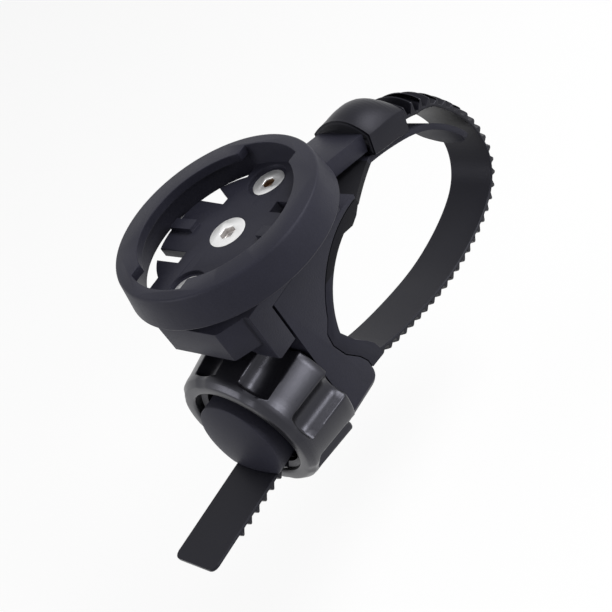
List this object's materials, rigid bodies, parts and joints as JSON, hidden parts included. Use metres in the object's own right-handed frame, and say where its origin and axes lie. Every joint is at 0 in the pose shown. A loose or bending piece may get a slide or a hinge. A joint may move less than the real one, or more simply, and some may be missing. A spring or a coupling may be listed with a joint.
{
  "type": "camera and light mount",
  "caption": "Quarter-turn camera and light mount on an arm with a rubber-lined bar seat, a toothed strap and a lobed tension knob.",
  "frame": {"origin": "axis of the bar seat at mid width", "axes": "+Z along the head's axis, out of its socket; +Y along the bar; +X forward, towards the free end of the strap"},
  "size_m": [0.0969, 0.0378, 0.0492],
  "materials": {
    "plastic": "fine matte, charcoal",
    "knob_plastic": "glossy black",
    "pad_rubber": "soft matte black",
    "strap_rubber": "satin black",
    "screw_steel": "bright zinc plate",
    "insert_brass": "turned"
  },
  "bodies": {
    "mount": {"quarter_turn_head": "plastic", "centre_screw": "screw_steel", "side_screws": "screw_steel", "side_inserts": "insert_brass", "centre_insert": "insert_brass", "base_block": "plastic", "arm": "plastic", "bar_pad": "pad_rubber", "strap": "strap_rubber", "thrust_core": "plastic"},
    "knob": {"tension_knob": "knob_plastic"}
  },
  "joints": [
    {"name": "knob_spin", "type": "hinge", "parent": "mount", "child": "knob", "pos_m": [0.028, 0, -0.0012], "axis": [1, 0, 0], "continuous": true}
  ]
}
